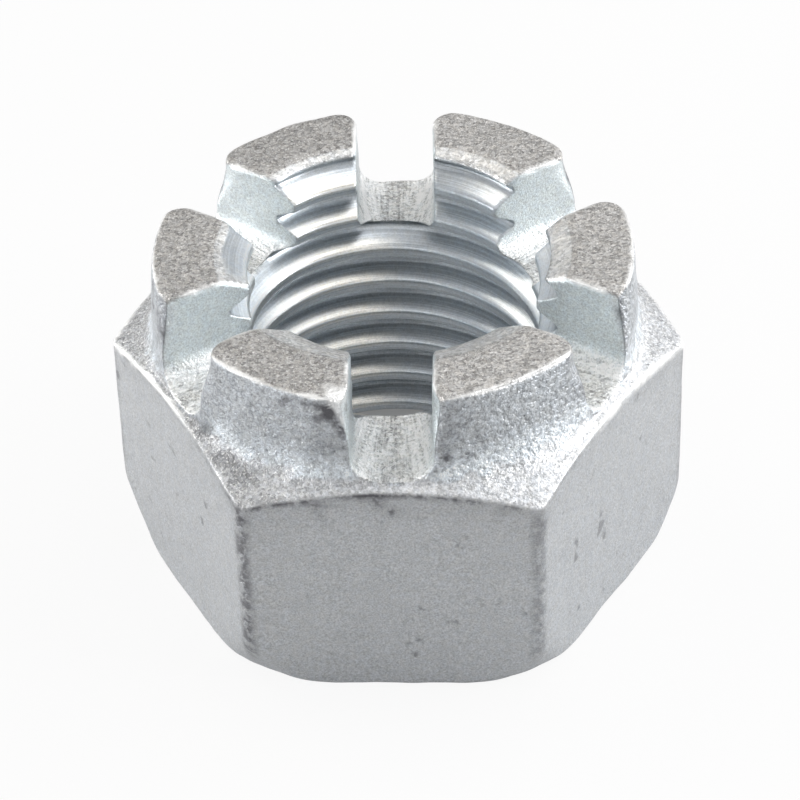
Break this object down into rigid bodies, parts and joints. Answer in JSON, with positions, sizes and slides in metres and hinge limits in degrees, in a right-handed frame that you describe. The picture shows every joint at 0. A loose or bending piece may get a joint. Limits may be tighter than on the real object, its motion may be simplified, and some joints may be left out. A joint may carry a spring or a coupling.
{
  "type": "castle nut",
  "caption": "Forged steel castle nut with a hexagon, a slotted crown for a split pin and a coarse metric thread.",
  "frame": {"origin": "centre of the bearing face, on the thread's axis", "axes": "+Z along the thread's axis from the bearing face to the crown, +X towards a corner of the hexagon, +Y towards the middle of a flat and of a slot"},
  "size_m": [0.0344, 0.03, 0.0212],
  "materials": {
    "zinc_plate": "bright zinc plate over a forged, slightly grainy steel surface"
  },
  "bodies": {
    "root": {"castle_nut": "zinc_plate"}
  },
  "joints": []
}
